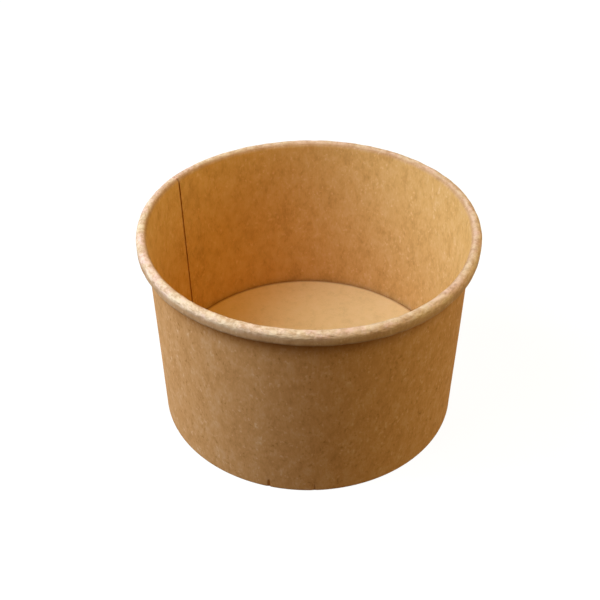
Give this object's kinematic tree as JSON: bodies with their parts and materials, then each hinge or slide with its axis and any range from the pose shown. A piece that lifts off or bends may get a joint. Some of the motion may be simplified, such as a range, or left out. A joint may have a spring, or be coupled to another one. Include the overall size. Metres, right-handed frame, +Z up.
{
  "type": "paper bowl",
  "caption": "Round kraft paper food bowl with a lapped side seam, a rolled rim and a recessed floor disc held in a folded foot hem.",
  "frame": {"origin": "centre of the foot, on the surface that the bowl stands on", "axes": "+Z up the bowl's axis; +Y away from the picture's camera; the seam's inner edge lies at 148 degrees from +X towards +Y"},
  "size_m": [0.116, 0.116, 0.0736],
  "materials": {
    "kraft_wall": "uncoated brown kraft board, matt outside, faint sheen inside",
    "kraft_floor": "brown kraft board, matt with a faint sheen"
  },
  "bodies": {
    "root": {"side_wall": "kraft_wall", "base_disc": "kraft_floor"}
  },
  "joints": []
}
